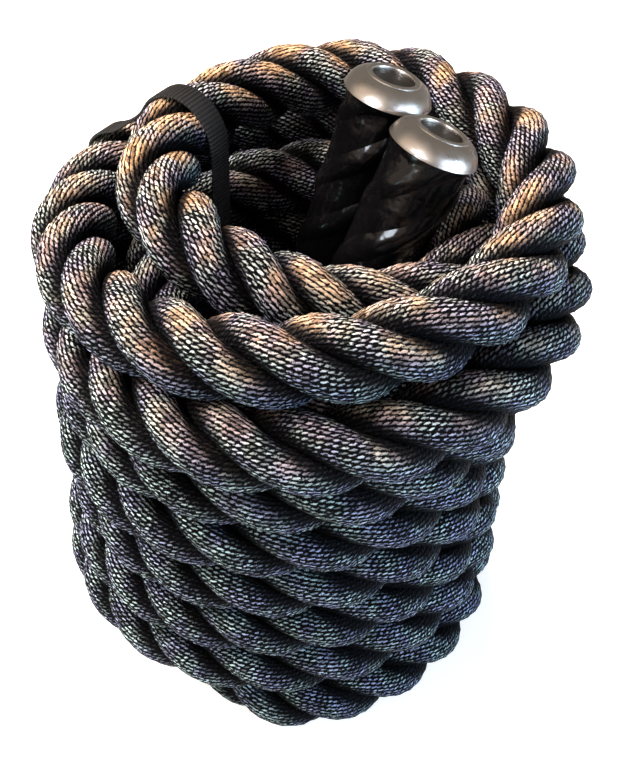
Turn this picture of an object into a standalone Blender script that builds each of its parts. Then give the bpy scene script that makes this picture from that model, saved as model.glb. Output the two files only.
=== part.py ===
"""Battle rope, wound up to stand by itself: two layers of turns, with both grips leaning in the hollow.

Metres, +Z up. The part stands on Z = 0 with the middle of its plan at the origin.
The rope is wound anticlockwise: the outer layer climbs, and the inner layer runs down inside it.
A place along the coil is given in turns, counted from where the outer layer starts on the floor.
"""

import math

import bmesh
import bpy
import numpy as np
from mathutils import Matrix, Vector
from mathutils.geometry import convex_hull_2d

# Clearances
FIT = 0.0003
OVERRUN = 0.01

# Rope: its width is taken inside the crowns of the strands, which stand 1 mm proud of it. What was
# measured on the photograph, and what is made to fit the rope, is given in rope widths.
ROPE_WIDTH = 0.036
TURN_GAP = 0.0014
ROPE_REACH = ROPE_WIDTH / 2
FLAT_DEPTH = ROPE_WIDTH / 10
PITCH = ROPE_WIDTH + TURN_GAP
FLOOR_HEIGHT = ROPE_REACH - FLAT_DEPTH

# Outer layer: radius of each turn at its front, right, back and left, in rope widths, from the floor up
OUTER_WIDTHS = (
    (3.3194, 3.2361, 3.2639, 3.2917),
    (3.3472, 3.2500, 3.2083, 3.1389),
    (3.3194, 3.2222, 3.1389, 2.9167),
    (3.3194, 3.1806, 3.1389, 3.0417),
    (3.3194, 3.1250, 3.1389, 2.9722),
    (3.3194, 3.2361, 3.1944, 3.0972),
    (3.5139, 3.3611, 3.2361, 3.1806),
    (3.0000, 3.0417, 2.9861, 2.9861),
)
OUTER_RADII = [[widths * ROPE_WIDTH for widths in row] for row in OUTER_WIDTHS]
FRONT_ANGLE = 270
START_ANGLE = 275
FLAT_TURNS = 0.37
CLIMB_TURNS = 0.79
CLIMB_AHEAD = 0.216
TOP_SINK = 0.05 * ROPE_WIDTH
SINK_TURNS = (6.75, 7.05)

# Where the rope turns over the top and goes inside
CROSS_TURNS = (7.374, 7.634)
TURNING = 7.654
TURNING_BLEND = 0.0015

# Inner layer, whose turns are counted from the turning
INNER_TOP_RADIUS = 1.9583 * ROPE_WIDTH
LAYER_GAP = 0.0018
INNER_DROP = 0.6944 * ROPE_WIDTH
DROP_TURNS = (0.15, 0.48)
WIDEN_TURNS = (0.36, 0.52)
INNER_TURNS = 4.65

# How far the top of the coil stands off the axis of its foot, and between which heights it moves over
LEAN = Vector((0.5556, -0.2778)) * ROPE_WIDTH
LEAN_HEIGHTS = (3.0833 * ROPE_WIDTH, 8.2778 * ROPE_WIDTH)

# The coil's two ends: an arc off the turns, then one straight rope width
LEAD_IN_BEND, LEAD_IN_ANGLE = 1.4444 * ROPE_WIDTH, 110
RUN_OUT_BEND, RUN_OUT_ANGLE = 1.3889 * ROPE_WIDTH, 55
ARC_STEP = 14
LOOP_POINTS = 24

# Free stretches: straight where they leave the coil's end and the grip, and between those a smooth curve
# with a reach at each end, in rope widths
TAIL_POINTS = 12
TAIL_STRAIGHT = ROPE_WIDTH / 4
TAIL_REACHES = {"a": (2.4722, 0.6667), "b": (2.1111, 5.5556)}

# Grips: the middle of each cap's rim, from the middle of the top turn in rope widths, and the way that the
# grip points
CAP_PLACES = {"a": (1.1167, 0.8833, 0.475), "b": (1.5722, -0.2278, 0.3)}
GRIP_WAYS = {"a": (0.302, 0.065, 0.951), "b": (0.396, 0.119, 0.902)}
GRIP_LENGTH = 4.1667 * ROPE_WIDTH
HINGE_DEPTH = 0.7778 * ROPE_WIDTH

# Sleeve
SLEEVE_WALL = 0.0361 * ROPE_WIDTH
SLEEVE_LIP = 0.1667 * ROPE_WIDTH
SLEEVE_LIP_WALL = 0.0306 * ROPE_WIDTH
SLEEVE_EDGE = 0.0139 * ROPE_WIDTH
SLEEVE_RISE = 0.0333 * ROPE_WIDTH

# Whipping, wound over the rope under the sleeve
WHIPPING_THICK = 0.0167 * ROPE_WIDTH
WHIPPING_WIDTH = 0.7778 * ROPE_WIDTH
WHIPPING_TOP = 0.0833 * ROPE_WIDTH
WHIPPING_RIDGES = 7

# End cap
CAP_HEIGHT = 0.2778 * ROPE_WIDTH
CAP_WALL = 0.0333 * ROPE_WIDTH
CAP_SKIRT = 0.0389 * ROPE_WIDTH
CAP_BULGE = 0.0417 * ROPE_WIDTH
CAP_STEPS = 6
LIP_HEIGHT = 0.0278 * ROPE_WIDTH
LIP_PROUD = 0.0111 * ROPE_WIDTH
RING_RADIUS = 0.3389 * ROPE_WIDTH
RING_WIDTH = 0.0833 * ROPE_WIDTH
RING_RISE = 0.0222 * ROPE_WIDTH
RECESS_DEPTH = 0.0889 * ROPE_WIDTH
WELL_RADIUS = 0.2444 * ROPE_WIDTH
WELL_DEPTH = 0.0722 * ROPE_WIDTH
DISC_THICK = 0.0010
DISC_EDGE = 0.0003

# Cap screw
SHANK_RADIUS = 0.003
SCREW_LENGTH = 0.032
SCREW_POINT = 0.006
HEAD_RADIUS = 0.0055
HEAD_HEIGHT = 0.002
HEAD_EDGE = 0.0006
SOCKET_RADIUS = 0.0023
SOCKET_DEPTH = 0.0011

# Tie strap
STRAP_ANGLE = 142
STRAP_WIDTH = 0.016
STRAP_THICK = 0.0018
STRAP_STEP = 0.005
STRAP_OVERLAP = 0.060

SHOWN_SIDES = 32
HIDDEN_SIDES = 24


def ease(value):
    """0 up to 0, 1 from 1 on, smooth between."""
    value = min(max(value, 0.0), 1.0)
    return value * value * (3 - 2 * value)


def ramp(value, limits):
    return ease((value - limits[0]) / (limits[1] - limits[0]))


# The coil's route


def climbed(turn):
    """Pitches climbed by a place on the outer layer: none on the floor, then one a turn."""
    if turn <= FLAT_TURNS:
        return 0.0
    if turn >= CLIMB_TURNS:
        return turn + CLIMB_AHEAD
    span = CLIMB_TURNS - FLAT_TURNS
    part = (turn - FLAT_TURNS) / span
    return ease(part) * (CLIMB_TURNS + CLIMB_AHEAD) + part * part * (part - 1) * span


def outer_height(turn):
    return FLOOR_HEIGHT + PITCH * climbed(turn) - TOP_SINK * ramp(turn, SINK_TURNS)


def inner_height(turn):
    down = turn - TURNING
    return outer_height(TURNING) - PITCH * down - INNER_DROP * ramp(down, DROP_TURNS)


def coil_height(turn):
    """The lower of the two layers' heights, with the change from one to the other rounded."""
    heights = outer_height(turn), inner_height(turn)
    low = min(heights)
    return low - TURNING_BLEND * math.log(sum(math.exp((low - height) / TURNING_BLEND) for height in heights))


def outer_radius(turn):
    """The outer layer's radius, run smoothly through the four places of each turn."""
    places = [radius for row in OUTER_RADII for radius in row]
    quarter = 4 * turn + (START_ANGLE - FRONT_ANGLE) / 90
    number = math.floor(quarter)
    part = quarter - number
    near = [places[min(max(number + step, 0), len(places) - 1)] for step in (-1, 0, 1, 2)]
    slopes = (near[2] - near[0]) / 2, (near[3] - near[1]) / 2
    ends = near[1] + (near[2] - near[1]) * ease(part)
    bends = slopes[0] * part * (1 - part) ** 2 - slopes[1] * part * part * (1 - part)
    return ends + bends


def inner_radius(turn):
    """Against the inside of the outer turns just below and just above."""
    level = (inner_height(turn) - FLOOR_HEIGHT) / PITCH - CLIMB_AHEAD
    below = turn + math.floor(level - turn)
    return (
        outer_radius(below)
        + (outer_radius(below + 1) - outer_radius(below)) * (level - below)
        - PITCH
        - LAYER_GAP
    )


def coil_radius(turn):
    crossed = outer_radius(turn)
    crossed += (INNER_TOP_RADIUS - crossed) * ramp(turn, CROSS_TURNS)
    if turn < TURNING:
        return crossed
    return crossed + (inner_radius(turn) - crossed) * ramp(turn - TURNING, WIDEN_TURNS)


def coil_angle(turn):
    return math.radians(START_ANGLE + 360 * turn)


def coil_middle(turn):
    return LEAN * ramp(coil_height(turn), LEAN_HEIGHTS)


def coil_point(turn):
    flat = coil_middle(turn) + coil_radius(turn) * way(coil_angle(turn))
    return Vector((*flat, coil_height(turn)))


def way(angle):
    return Vector((math.cos(angle), math.sin(angle)))


def arc_off(radius, bend, angle, turned):
    """Plan points of an arc that leaves a circle of this radius on its inner side, from the circle on."""
    steps = round(abs(math.degrees(turned)) / ARC_STEP)
    middle = (radius - bend) * way(angle)
    return [middle + bend * way(angle + turned * step / steps) for step in range(1, steps + 1)]


def lead_in():
    """From the straight end of the coil in its hollow to where the outer layer starts."""
    turned = -math.radians(LEAD_IN_ANGLE)
    arc = arc_off(OUTER_RADII[0][0], LEAD_IN_BEND, coil_angle(0), turned)
    heading = way(coil_angle(0) + turned + math.pi / 2)
    clear_height = ROPE_REACH + FIT
    points = [Vector((*(arc[-1] - heading * ROPE_WIDTH), clear_height))]
    for step, flat in enumerate(reversed(arc)):
        share = ease(1 - step / (len(arc) - 1))
        points.append(Vector((*flat, FLOOR_HEIGHT + (clear_height - FLOOR_HEIGHT) * share)))
    return points


def run_out(last):
    """From the end of the inner layer to the coil's other straight end."""
    turned = math.radians(RUN_OUT_ANGLE)
    radius = coil_radius(last)
    arc = arc_off(radius, RUN_OUT_BEND, coil_angle(last), turned)
    heading = way(coil_angle(last) + turned + math.pi / 2)
    fall = PITCH / (2 * math.pi * radius)
    places = arc + [arc[-1] + heading * ROPE_WIDTH]
    step = RUN_OUT_BEND * turned / len(arc)
    lengths = [step * (number + 1) for number in range(len(arc))]
    lengths.append(lengths[-1] + ROPE_WIDTH)
    start = coil_point(last)
    return [
        Vector((*(coil_middle(last) + flat), start.z - fall * length))
        for flat, length in zip(places, lengths)
    ]


def coil_route():
    last = TURNING + INNER_TURNS
    steps = round(last * LOOP_POINTS)
    turns = [coil_point(last * step / steps) for step in range(steps + 1)]
    return lead_in() + turns + run_out(last)


def smooth_route(start, start_way, end, end_way, reaches):
    """Points of a rope that leaves one end and meets the other straight, square to both."""
    first, last = start + start_way * TAIL_STRAIGHT, end - end_way * TAIL_STRAIGHT
    corners = first, first + start_way * reaches[0], last - end_way * reaches[1], last
    points = [start]
    for step in range(TAIL_POINTS + 1):
        part = step / TAIL_POINTS
        weights = (1 - part) ** 3, 3 * part * (1 - part) ** 2, 3 * part * part * (1 - part), part**3
        points.append(sum((corner * weight for corner, weight in zip(corners, weights)), Vector((0, 0, 0))))
    return points + [end]


def route_length(route):
    return sum((after - before).length for before, after in zip(route, route[1:]))


def least_gap(route):
    """Least gap between two places of the coil that are over two rope widths apart along it."""
    dense = [
        before.lerp(after, step / LOOP_POINTS)
        for before, after in zip(route, route[1:])
        for step in range(0, LOOP_POINTS, 4)
    ]
    places = np.array(dense)
    along = np.concatenate([[0], np.cumsum(np.linalg.norm(np.diff(places, axis=0), axis=1))])
    least = math.inf
    for number, place in enumerate(places):
        far = along > along[number] + 2 * ROPE_WIDTH
        if far.any():
            least = min(least, np.linalg.norm(places[far] - place, axis=1).min())
    return least - ROPE_WIDTH


# Materials


def finish(name, colour, roughness, metallic=0.0):
    material = bpy.data.materials.new(name)
    material.use_nodes = True
    shader = material.node_tree.nodes["Principled BSDF"]
    shader.inputs["Base Color"].default_value = (*colour, 1)
    shader.inputs["Roughness"].default_value = roughness
    shader.inputs["Metallic"].default_value = metallic
    material.diffuse_color = (*colour, 1)
    return material


# Solids


def add_object(name, data, material, carrier=None):
    thing = bpy.data.objects.new(name, data)
    bpy.context.scene.collection.objects.link(thing)
    data.materials.clear()
    data.materials.append(material)
    thing.parent = carrier
    return thing


def add_empty(name, frame, carrier=None):
    empty = bpy.data.objects.new(name, None)
    bpy.context.scene.collection.objects.link(empty)
    empty.empty_display_size = ROPE_REACH
    empty.parent = carrier
    empty.matrix_local = frame
    return empty


def round_shading(mesh):
    mesh.shade_smooth()
    mesh.set_sharp_from_angle(angle=math.radians(35))


def tube(name, route, sides_step, upright, material, carrier):
    """A round tube along the route, with flat ends."""
    curve = bpy.data.curves.new(name, "CURVE")
    curve.dimensions = "3D"
    curve.bevel_depth = ROPE_REACH
    curve.bevel_resolution = sides_step
    curve.use_fill_caps = True
    curve.twist_mode = "Z_UP" if upright else "MINIMUM"
    spline = curve.splines.new("POLY")
    spline.points.add(len(route) - 1)
    for point, place in zip(spline.points, route):
        point.co = (*place, 1)
    spline.use_smooth = True
    return add_object(name, curve, material, carrier)


def as_mesh(thing):
    """The same object with its curve turned into one closed mesh."""
    name, material, carrier = thing.name, thing.data.materials[0], thing.parent
    bpy.context.view_layer.update()
    mesh = bpy.data.meshes.new_from_object(thing.evaluated_get(bpy.context.evaluated_depsgraph_get()))
    bpy.data.objects.remove(thing)
    solid = bmesh.new()
    solid.from_mesh(mesh)
    bmesh.ops.remove_doubles(solid, verts=solid.verts, dist=FIT / 100)
    bmesh.ops.recalc_face_normals(solid, faces=solid.faces)
    solid.to_mesh(mesh)
    solid.free()
    mesh.name = name
    round_shading(mesh)
    return add_object(name, mesh, material, carrier)


def turned(name, outline, sides, material, carrier):
    """A solid of revolution about its own Z from an outline of radii and heights, which may start on the axis."""
    shape = bmesh.new()
    rings = []
    for radius, height in outline:
        count = sides if radius > 0 else 1
        angles = [2 * math.pi * number / sides for number in range(count)]
        rings.append([shape.verts.new((radius * math.cos(a), radius * math.sin(a), height)) for a in angles])
    for one, two in zip(rings, rings[1:] + rings[:1]):
        for number in range(sides if len(one) + len(two) > 2 else 0):
            corners = [one[number % len(one)], one[(number + 1) % len(one)]]
            corners += [two[(number + 1) % len(two)], two[number % len(two)]]
            shape.faces.new(list(dict.fromkeys(corners)))
    bmesh.ops.recalc_face_normals(shape, faces=shape.faces)
    mesh = bpy.data.meshes.new(name)
    shape.to_mesh(mesh)
    shape.free()
    round_shading(mesh)
    return add_object(name, mesh, material, carrier)


def cut(thing, cutter):
    cutter.hide_render = True
    cutter.display_type = "WIRE"
    boolean = thing.modifiers.new("cut", "BOOLEAN")
    boolean.operation = "DIFFERENCE"
    boolean.solver = "EXACT"
    boolean.object = cutter


def block(name, size, place, material, carrier):
    shape = bmesh.new()
    bmesh.ops.create_cube(shape, size=1, matrix=Matrix.LocRotScale(Vector(place), None, Vector(size)))
    mesh = bpy.data.meshes.new(name)
    shape.to_mesh(mesh)
    shape.free()
    return add_object(name, mesh, material, carrier)


# Grip pieces: heights are from the rim of the cap, and the rope runs down from there.

CAP_TOP = CAP_HEIGHT
LEDGE = CAP_TOP - RECESS_DEPTH
WELL_FLOOR = LEDGE - WELL_DEPTH
CAP_UNDER = WELL_FLOOR - CAP_WALL
ROPE_TOP = CAP_UNDER - FIT
WHIPPING_REACH = ROPE_REACH + FIT + WHIPPING_THICK
SLEEVE_BORE = WHIPPING_REACH + FIT
SLEEVE_REACH = SLEEVE_BORE + SLEEVE_WALL
SKIRT_BORE = SLEEVE_REACH + FIT
SKIRT_REACH = SKIRT_BORE + CAP_WALL - LIP_PROUD
RECESS_RADIUS = RING_RADIUS - RING_WIDTH / 2
SCREW_BORE = SHANK_RADIUS + FIT


def rope_end(letter, material, carrier):
    chamfer = ROPE_REACH / 8
    foot = -GRIP_LENGTH
    outline = [
        (SCREW_BORE, ROPE_TOP),
        (ROPE_REACH - chamfer, ROPE_TOP),
        (ROPE_REACH, ROPE_TOP - chamfer),
        (ROPE_REACH, foot),
        (0, foot),
        (0, ROPE_TOP - SCREW_LENGTH - FIT),
        (SCREW_BORE, ROPE_TOP - SCREW_LENGTH + SCREW_POINT),
    ]
    turned(f"rope_end_{letter}", outline, HIDDEN_SIDES, material, carrier)


def end_whipping(letter, material, carrier):
    """A band of wound twine, with a ridge for each few windings."""
    top = -WHIPPING_TOP
    bore = ROPE_REACH + FIT
    ridge = WHIPPING_WIDTH / WHIPPING_RIDGES
    outline = [(bore, top), (bore, top - WHIPPING_WIDTH)]
    for number in range(WHIPPING_RIDGES, 0, -1):
        low = top - ridge * number
        outline += [(WHIPPING_REACH - WHIPPING_THICK / 2, low), (WHIPPING_REACH, low + ridge / 2)]
    outline.append((WHIPPING_REACH - WHIPPING_THICK / 2, top))
    turned(f"end_whipping_{letter}", outline, HIDDEN_SIDES, material, carrier)


def grip_sleeve(letter, material, carrier):
    """A shrunk sleeve that draws in to the bare rope at its foot and runs up under the cap's skirt."""
    foot = -GRIP_LENGTH
    lip_bore = ROPE_REACH + FIT
    lip_reach = lip_bore + SLEEVE_LIP_WALL
    shoulder = foot + SLEEVE_LIP
    outline = [
        (SLEEVE_BORE, SLEEVE_RISE),
        (SLEEVE_REACH - SLEEVE_EDGE, SLEEVE_RISE),
        (SLEEVE_REACH, SLEEVE_RISE - SLEEVE_EDGE),
        (SLEEVE_REACH, shoulder + SLEEVE_LIP / 3),
        ((SLEEVE_REACH + lip_reach) / 2, shoulder - SLEEVE_LIP / 4),
        (lip_reach, foot + SLEEVE_EDGE),
        (lip_reach - SLEEVE_EDGE, foot),
        (lip_bore, foot),
        (lip_bore, foot + SLEEVE_LIP / 4),
        (SLEEVE_BORE, shoulder + SLEEVE_LIP / 3),
    ]
    turned(f"grip_sleeve_{letter}", outline, SHOWN_SIDES, material, carrier)


def bulged(start, end, side=1):
    """Points from start to end of a flat arc, which the start is left out of when it runs inwards."""
    start, end = Vector(start), Vector(end)
    across = end - start
    normal = Vector((across.y, -across.x)).normalized() * side
    shares = [step / CAP_STEPS for step in range(1 if side > 0 else 0, CAP_STEPS + 1)]
    return [tuple(start + across * share + normal * CAP_BULGE * 4 * share * (1 - share)) for share in shares]


def end_cap(letter, material, carrier):
    """A pressed cap: rolled lip, domed shoulder, raised ring round a recess, and a well for the screw."""
    lip_reach = SKIRT_REACH + LIP_PROUD
    ring_foot = RING_RADIUS + RING_WIDTH / 2
    dome_top = CAP_TOP - RING_RISE
    outline = [(SKIRT_BORE, 0), (lip_reach - LIP_PROUD / 2, 0), (lip_reach, LIP_HEIGHT / 3)]
    outline += [(lip_reach, LIP_HEIGHT * 2 / 3), (SKIRT_REACH, LIP_HEIGHT), (SKIRT_REACH, CAP_SKIRT)]
    outline += bulged((SKIRT_REACH, CAP_SKIRT), (ring_foot, dome_top))
    for step in range(1, 4):
        angle = math.pi * step / 4
        radius = RING_RADIUS + RING_WIDTH / 2 * math.cos(angle)
        outline.append((radius, dome_top + RING_RISE * math.sin(angle)))
    outline += [(RECESS_RADIUS, dome_top), (RECESS_RADIUS, LEDGE), (WELL_RADIUS, LEDGE)]
    outline += [(WELL_RADIUS, WELL_FLOOR), (SCREW_BORE, WELL_FLOOR), (SCREW_BORE, CAP_UNDER)]
    under = WELL_RADIUS + CAP_WALL
    outline.append((under, CAP_UNDER))
    inner_top = dome_top - CAP_WALL * 3 / 2
    outline += bulged((under + CAP_WALL, inner_top), (SKIRT_BORE, CAP_SKIRT), -1)
    turned(f"end_cap_{letter}", outline, SHOWN_SIDES, material, carrier)


def cap_disc(letter, material, carrier):
    """The blank disc on the recess's ledge, over the screw."""
    reach = RECESS_RADIUS - FIT
    low = LEDGE + FIT
    top = low + DISC_THICK
    outline = [(0, low), (reach, low), (reach, top - DISC_EDGE), (reach - DISC_EDGE, top), (0, top)]
    turned(f"cap_disc_{letter}", outline, SHOWN_SIDES, material, carrier)


def cap_screw(letter, material, carrier):
    """A pan-head screw that draws the cap down on the rope's end."""
    seat = WELL_FLOOR + FIT
    head = seat + HEAD_HEIGHT
    tip = ROPE_TOP - SCREW_LENGTH + FIT
    outline = [
        (0, head),
        (HEAD_RADIUS - 2 * HEAD_EDGE, head),
        (HEAD_RADIUS, head - HEAD_EDGE),
        (HEAD_RADIUS, seat),
        (SHANK_RADIUS, seat),
        (SHANK_RADIUS, tip + SCREW_POINT),
        (0, tip),
    ]
    screw = turned(f"cap_screw_{letter}", outline, HIDDEN_SIDES, material, carrier)
    floor = head - SOCKET_DEPTH
    socket = [(0, floor), (SOCKET_RADIUS, floor), (SOCKET_RADIUS, head + OVERRUN), (0, head + OVERRUN)]
    cut(screw, turned(f"socket_cutter_{letter}", socket, 6, material, carrier))


# Tie strap


def strap_hull(route):
    """Outline of the ropes that the strap holds, as distances out from the foot's axis and heights."""
    out, across = strap_ways()
    reach = STRAP_WIDTH / 2 + FIT
    skin = []
    for before, after in zip(route, route[1:]):
        along = (after - before).normalized()
        side = along.orthogonal().normalized()
        steps = math.ceil((after - before).length / (STRAP_WIDTH / 8))
        for number in range(steps):
            middle = before.lerp(after, number / steps)
            if middle.xy @ out < ROPE_REACH or abs(middle.xy @ across) > reach + ROPE_REACH:
                continue
            for turn in range(HIDDEN_SIDES * 2):
                spoke = Matrix.Rotation(math.pi * turn / HIDDEN_SIDES, 3, along) @ side
                spot = middle + spoke * ROPE_REACH
                if abs(spot.xy @ across) <= reach:
                    skin.append(Vector((spot.xy @ out, spot.z)))
    return [skin[number] for number in convex_hull_2d(skin)]


def strap_ways():
    return way(math.radians(STRAP_ANGLE)), way(math.radians(STRAP_ANGLE + 90))


def even_outline(hull, step):
    """The hull's corners thinned out to about one a step."""
    kept = [hull[0]]
    for corner in hull[1:]:
        if (corner - kept[-1]).length >= step and (corner - kept[0]).length >= step / 2:
            kept.append(corner)
    return kept


def outwards(outline, distance):
    """The corners of a convex outline, each moved out by this distance."""
    moved = []
    for before, corner, after in zip(outline[-1:] + outline, outline, outline[1:] + outline[:1]):
        sides = (corner - before).normalized() + (after - corner).normalized()
        normal = Vector((sides.y, -sides.x)).normalized()
        moved.append(corner + normal * distance)
    return moved


def tie_strap(route, material, carrier):
    """A strap round the wall of turns, whose end laps over its start low on the outer side."""
    hull = even_outline(strap_hull(route), STRAP_STEP)
    area = sum(one.x * two.y - one.y * two.x for one, two in zip(hull, hull[1:] + hull[:1]))
    if area < 0:
        hull.reverse()
    sag = STRAP_STEP**2 / (8 * ROPE_REACH)
    inner = outwards(hull, FIT + sag)
    single = outwards(hull, FIT + sag + STRAP_THICK)
    double = outwards(hull, FIT + sag + 2 * STRAP_THICK)
    outer_side = max(corner.x for corner in inner)
    middle = (max(corner.y for corner in inner) + min(corner.y for corner in inner)) / 2
    outer = [
        two if corner.x > outer_side - STRAP_STEP and abs(corner.y - middle) < STRAP_OVERLAP / 2 else one
        for corner, one, two in zip(inner, single, double)
    ]
    out, across = strap_ways()
    shape = bmesh.new()
    loops = []
    for outline, end in ((inner, -1), (outer, -1), (outer, 1), (inner, 1)):
        edge = across * end * STRAP_WIDTH / 2
        loops.append([shape.verts.new((*(out * corner.x + edge), corner.y)) for corner in outline])
    count = len(inner)
    for one, two in zip(loops, loops[1:] + loops[:1]):
        for number in range(count):
            after = (number + 1) % count
            shape.faces.new((one[number], one[after], two[after], two[number]))
    bmesh.ops.recalc_face_normals(shape, faces=shape.faces)
    mesh = bpy.data.meshes.new("tie_strap")
    shape.to_mesh(mesh)
    shape.free()
    round_shading(mesh)
    add_object("tie_strap", mesh, material, carrier)


# Assembly


def add_grip(letter, top, materials, carrier):
    """One grip on its pivot, and the place and way of the rope that leaves its foot."""
    rim = top + Vector(CAP_PLACES[letter]) * ROPE_WIDTH
    up = Vector(GRIP_WAYS[letter]).normalized()
    turn = up.to_track_quat("Z", "Y").to_matrix().to_4x4()
    below = GRIP_LENGTH + HINGE_DEPTH
    pivot = add_empty(f"grip_pivot_{letter}", Matrix.Translation(rim - up * below) @ turn, carrier)
    frame = add_empty(f"grip_frame_{letter}", Matrix.Translation((0, 0, below)), pivot)
    rope_end(letter, materials["rope"], frame)
    end_whipping(letter, materials["twine"], frame)
    grip_sleeve(letter, materials["sleeve"], frame)
    end_cap(letter, materials["cap"], frame)
    cap_disc(letter, materials["disc"], frame)
    cap_screw(letter, materials["steel"], frame)
    return rim - up * (GRIP_LENGTH + FIT), -up


def stand_at_origin(carrier):
    """Move the whole part so that the middle of its plan is over the origin."""
    bpy.context.view_layer.update()
    depsgraph = bpy.context.evaluated_depsgraph_get()
    solids = [
        thing.evaluated_get(depsgraph)
        for thing in bpy.context.scene.objects
        if thing.type in {"MESH", "CURVE"} and not thing.hide_render
    ]
    corners = [solid.matrix_world @ vertex.co for solid in solids for vertex in solid.to_mesh().vertices]
    for axis in (0, 1):
        places = [corner[axis] for corner in corners]
        carrier.location[axis] = -(max(places) + min(places)) / 2
    bpy.context.view_layer.update()
    print("foot axis at", [round(value, 5) for value in carrier.location])


def build():
    for thing in list(bpy.data.objects):
        bpy.data.objects.remove(thing)
    materials = {
        "rope": finish("black_polyester", (0.020, 0.019, 0.021), 0.75),
        "twine": finish("black_twine", (0.030, 0.028, 0.027), 0.80),
        "sleeve": finish("gloss_black_sleeve", (0.012, 0.012, 0.013), 0.18),
        "cap": finish("satin_metal", (0.62, 0.60, 0.58), 0.28, 1.0),
        "disc": finish("brushed_disc", (0.50, 0.49, 0.48), 0.40, 1.0),
        "steel": finish("zinc_steel", (0.55, 0.55, 0.54), 0.35, 1.0),
        "strap": finish("black_webbing", (0.016, 0.016, 0.017), 0.85),
    }
    carrier = add_empty("battle_rope", Matrix.Identity(4))

    route = coil_route()
    coil = as_mesh(tube("rope_coil", route, 1, True, materials["rope"], carrier))
    spread = 2 * (max(max(row) for row in OUTER_RADII) + ROPE_WIDTH)
    floor = block(
        "floor_cutter",
        (spread, spread, ROPE_WIDTH),
        (0, 0, -ROPE_WIDTH / 2),
        materials["rope"],
        carrier,
    )
    cut(coil, floor)

    top = Vector((*LEAN, coil_height(TURNING)))
    coil_ends = {
        "a": (route[0], (route[0] - route[1]).normalized()),
        "b": (route[-1], (route[-1] - route[-2]).normalized()),
    }
    tails = {}
    for letter, (place, leaving) in coil_ends.items():
        foot, down = add_grip(letter, top, materials, carrier)
        reaches = [widths * ROPE_WIDTH for widths in TAIL_REACHES[letter]]
        tails[letter] = smooth_route(place + leaving * FIT, leaving, foot, -down, reaches)
        tube(f"rope_tail_{letter}", tails[letter], 2, False, materials["rope"], carrier)
    tie_strap(route + tails["b"], materials["strap"], carrier)
    stand_at_origin(carrier)

    print("coil length", round(route_length(route), 4), "least gap of the coil", round(least_gap(route), 5))
    for letter, tail in tails.items():
        print("tail", letter, "length", round(route_length(tail), 4))
    print("rope in a grip", round(GRIP_LENGTH + ROPE_TOP, 4))


build()
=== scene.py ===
# %% [markdown]
# # A coiled battle rope
# The real object is a thick training rope, laid from three strands, that is wound up and stands by
# itself. Its two grips, black shrunk sleeves with satin metal caps, lean in the hollow, and a narrow
# strap holds the wall of turns at the back left.
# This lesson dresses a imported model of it. First come the camera and the rope, because everything else
# is judged against them, then the grips, the strap, the floor and the lights.

import math

import bpy
import numpy as np
from mathutils import Matrix, Vector
from mathutils.geometry import convex_hull_2d


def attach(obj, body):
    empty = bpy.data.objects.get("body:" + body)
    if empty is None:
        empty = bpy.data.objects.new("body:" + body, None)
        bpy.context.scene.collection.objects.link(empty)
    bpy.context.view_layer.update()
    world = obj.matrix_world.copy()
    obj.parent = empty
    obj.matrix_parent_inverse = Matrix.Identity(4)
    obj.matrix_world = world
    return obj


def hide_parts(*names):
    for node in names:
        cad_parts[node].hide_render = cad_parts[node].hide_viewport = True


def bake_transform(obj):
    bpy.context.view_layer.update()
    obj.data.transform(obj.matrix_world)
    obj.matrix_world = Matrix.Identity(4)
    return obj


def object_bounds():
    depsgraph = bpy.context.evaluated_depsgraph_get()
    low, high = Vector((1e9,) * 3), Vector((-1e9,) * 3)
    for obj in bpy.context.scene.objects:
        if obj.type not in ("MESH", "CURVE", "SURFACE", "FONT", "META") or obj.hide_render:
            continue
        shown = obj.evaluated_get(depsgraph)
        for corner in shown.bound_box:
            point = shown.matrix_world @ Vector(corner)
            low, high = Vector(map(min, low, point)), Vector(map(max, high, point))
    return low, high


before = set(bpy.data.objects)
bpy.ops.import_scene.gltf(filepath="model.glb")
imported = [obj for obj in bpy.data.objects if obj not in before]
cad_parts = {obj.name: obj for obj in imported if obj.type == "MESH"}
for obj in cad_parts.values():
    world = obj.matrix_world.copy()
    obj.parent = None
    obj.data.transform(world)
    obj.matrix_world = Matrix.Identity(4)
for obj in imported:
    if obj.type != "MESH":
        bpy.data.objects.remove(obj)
cad_low, cad_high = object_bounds()
print("size in mm:", [round(value * 1000, 1) for value in cad_high - cad_low])

MM = 0.001
FOOT_AXIS = Vector((-0.00978, 0.00841, 0))

# %% [markdown]
# ## Camera
# The photograph looks down at about 45 degrees on the front of the coil. Place and direction were
# worked out from the ovals of the turns. The lens is given for the long side of the picture.

# %% Camera
EYE = Vector((0.0025, -0.4139, 0.5598))
LOOK = Vector((0.027, 0.710, -0.703)).normalized()
RIGHT = Vector((0.998, -0.058, -0.020)).normalized()
LENS = 46.26

up = RIGHT.cross(LOOK).normalized()
right = LOOK.cross(up)
turned_to = Matrix((right, up, -LOOK)).transposed().to_4x4()
bpy.ops.object.camera_add()
camera = bpy.context.object
camera.name = "camera"
camera.matrix_world = Matrix.Translation(FOOT_AXIS + EYE) @ turned_to
camera.data.lens = LENS
camera.data.sensor_width = 36
camera.data.clip_start = 0.01
bpy.context.scene.camera = camera
print("camera looks down by", round(math.degrees(math.asin(-LOOK.z)), 1), "degrees")

# %% [markdown]
# ## The rope's way
# The rope starts under grip a, runs down into the hollow, turns eight times round the outside from the
# floor up, crosses inwards at the back left, runs down again as a second layer inside the first, and
# comes up to grip b. These are the same measures that the solid model was made from. A place on the
# coil is counted in turns from where the outer layer starts on the floor. Each turn of that layer has
# four radii of its own, at its front, right, back and left, because a real coil isn't a true helix.

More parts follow.
